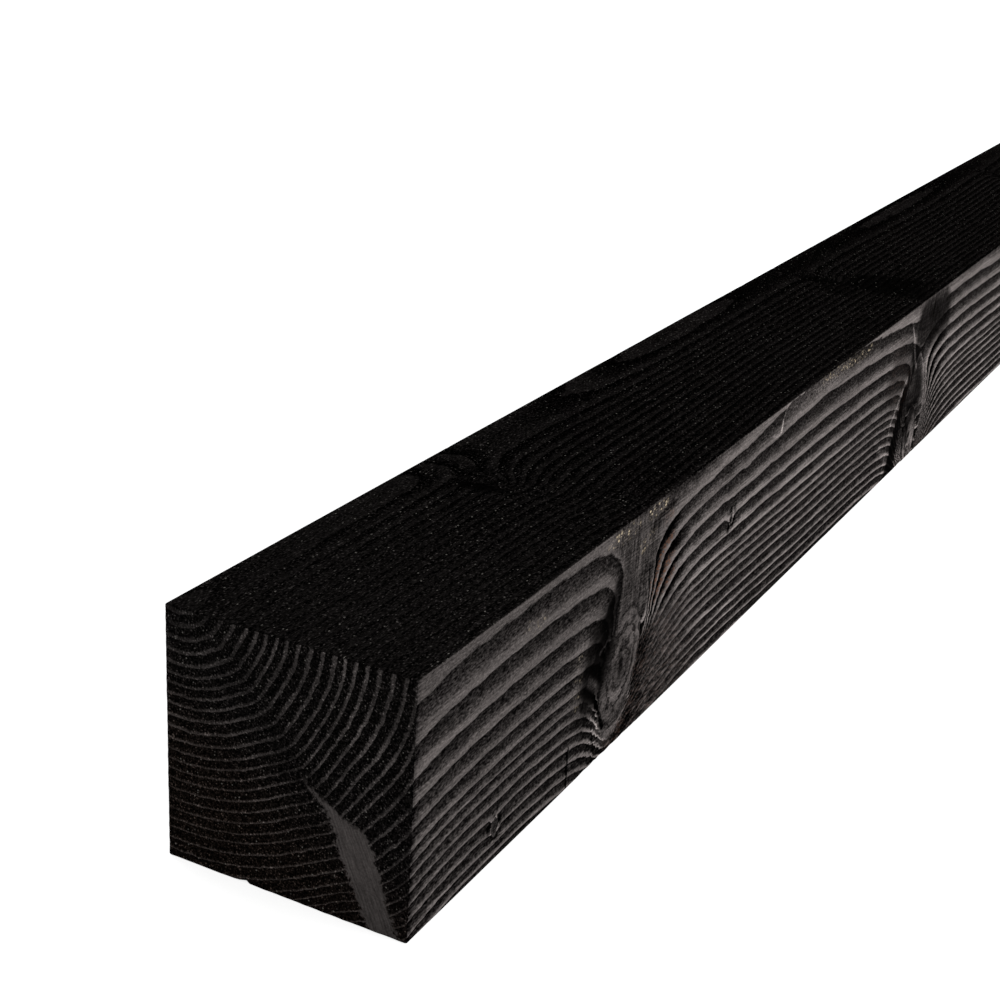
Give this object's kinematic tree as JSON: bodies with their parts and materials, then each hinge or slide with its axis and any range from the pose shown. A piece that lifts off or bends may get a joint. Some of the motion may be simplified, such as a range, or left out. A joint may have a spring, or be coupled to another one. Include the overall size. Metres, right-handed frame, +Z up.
{
  "type": "sawn timber beam",
  "caption": "Square sawn softwood beam, stained black, with cross-cut ends and worn edges, used as a post, joist or lintel.",
  "frame": {"origin": "middle of the lower side, which rests on the ground", "axes": "+Y along the beam's length, away from the nicked near end; +Z up; +X towards the side with the knots"},
  "size_m": [0.15, 2.5, 0.15],
  "materials": {
    "black_stained_timber": "fine-sawn softwood soaked in black stain, with paler late-wood bands"
  },
  "bodies": {
    "root": {"beam": "black_stained_timber"}
  },
  "joints": []
}
